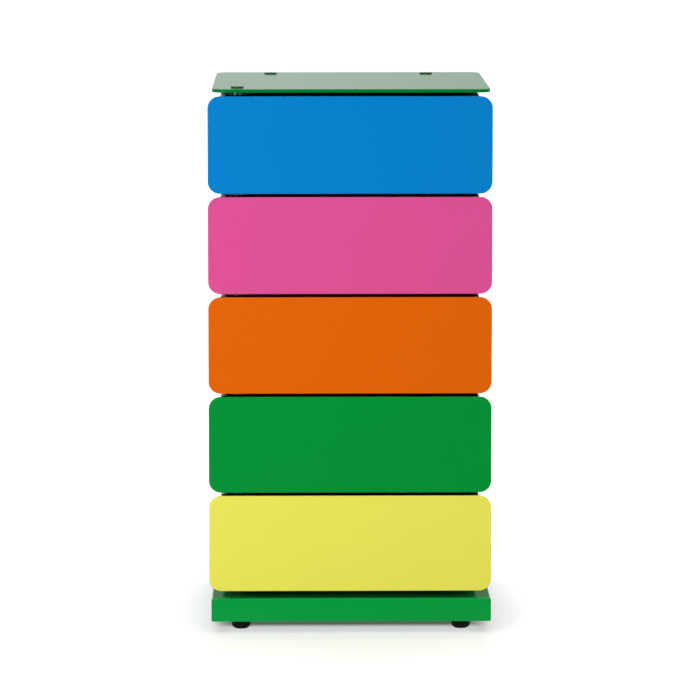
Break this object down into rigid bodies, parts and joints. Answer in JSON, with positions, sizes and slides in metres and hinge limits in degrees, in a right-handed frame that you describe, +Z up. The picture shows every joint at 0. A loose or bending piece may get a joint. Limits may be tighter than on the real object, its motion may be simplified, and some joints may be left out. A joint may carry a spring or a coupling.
{
  "type": "swivel drawer tower",
  "caption": "Square tower of trays with flat coloured fronts that swing out about a post in one front corner, between a folded base pan on glide feet and a flat top plate.",
  "frame": {"origin": "on the floor, under the middle of the outline, drawers closed", "axes": "+Z up, fronts towards -Y, pivot post at the left seen from the front"},
  "size_m": [0.4, 0.397, 0.7748],
  "materials": {
    "frame_green": "powder coated, satin",
    "post_steel": "ground and plated",
    "zinc_steel": "zinc plated",
    "hub_black": "moulded, glossy hubs",
    "black_plastic": "moulded",
    "bush_white": "acetal",
    "yellow_panel": "satin to gloss",
    "green_panel": "satin to gloss",
    "orange_panel": "satin to gloss",
    "pink_panel": "satin to gloss",
    "blue_panel": "satin to gloss"
  },
  "bodies": {
    "frame": {"base_pan": "frame_green", "top_plate": "frame_green", "pivot_post": "post_steel", "rear_post_left": "frame_green", "rear_post_right": "frame_green", "top_bolts": "frame_green", "base_bolts": "zinc_steel", "base_collar": "frame_green", "hub_washers": "bush_white", "top_spacer": "hub_black", "foot_rail_left": "frame_green", "foot_rail_right": "frame_green", "foot_nuts": "zinc_steel"},
    "foot_front_left": {"foot_pad_front_left": "black_plastic", "foot_stud_front_left": "zinc_steel"},
    "foot_front_right": {"foot_pad_front_right": "black_plastic", "foot_stud_front_right": "zinc_steel"},
    "foot_rear_left": {"foot_pad_rear_left": "black_plastic", "foot_stud_rear_left": "zinc_steel"},
    "foot_rear_right": {"foot_pad_rear_right": "black_plastic", "foot_stud_rear_right": "zinc_steel"},
    "yellow_drawer": {"yellow_front": "yellow_panel", "yellow_tray": "hub_black", "yellow_bushes": "bush_white", "yellow_front_screws": "zinc_steel"},
    "green_drawer": {"green_front": "green_panel", "green_tray": "hub_black", "green_bushes": "bush_white", "green_front_screws": "zinc_steel"},
    "orange_drawer": {"orange_front": "orange_panel", "orange_tray": "hub_black", "orange_bushes": "bush_white", "orange_front_screws": "zinc_steel"},
    "pink_drawer": {"pink_front": "pink_panel", "pink_tray": "hub_black", "pink_bushes": "bush_white", "pink_front_screws": "zinc_steel"},
    "blue_drawer": {"blue_front": "blue_panel", "blue_tray": "hub_black", "blue_bushes": "bush_white", "blue_front_screws": "zinc_steel"}
  },
  "joints": [
    {"name": "foot_front_left_height", "type": "slide", "parent": "frame", "child": "foot_front_left", "axis": [0, 0, -1], "range_m": [0, 0.01]},
    {"name": "foot_front_right_height", "type": "slide", "parent": "frame", "child": "foot_front_right", "axis": [0, 0, -1], "range_m": [0, 0.01]},
    {"name": "foot_rear_left_height", "type": "slide", "parent": "frame", "child": "foot_rear_left", "axis": [0, 0, -1], "range_m": [0, 0.01]},
    {"name": "foot_rear_right_height", "type": "slide", "parent": "frame", "child": "foot_rear_right", "axis": [0, 0, -1], "range_m": [0, 0.01]},
    {"name": "yellow_drawer_swing", "type": "hinge", "parent": "frame", "child": "yellow_drawer", "pos_m": [-0.1585, -0.1585, 0.1285], "axis": [0, 0, -1], "range_deg": [0, 265]},
    {"name": "green_drawer_swing", "type": "hinge", "parent": "frame", "child": "green_drawer", "pos_m": [-0.1585, -0.1585, 0.27], "axis": [0, 0, -1], "range_deg": [0, 265]},
    {"name": "orange_drawer_swing", "type": "hinge", "parent": "frame", "child": "orange_drawer", "pos_m": [-0.1585, -0.1585, 0.4115], "axis": [0, 0, -1], "range_deg": [0, 265]},
    {"name": "pink_drawer_swing", "type": "hinge", "parent": "frame", "child": "pink_drawer", "pos_m": [-0.1585, -0.1585, 0.553], "axis": [0, 0, -1], "range_deg": [0, 265]},
    {"name": "blue_drawer_swing", "type": "hinge", "parent": "frame", "child": "blue_drawer", "pos_m": [-0.1585, -0.1585, 0.6945], "axis": [0, 0, -1], "range_deg": [0, 265]}
  ]
}
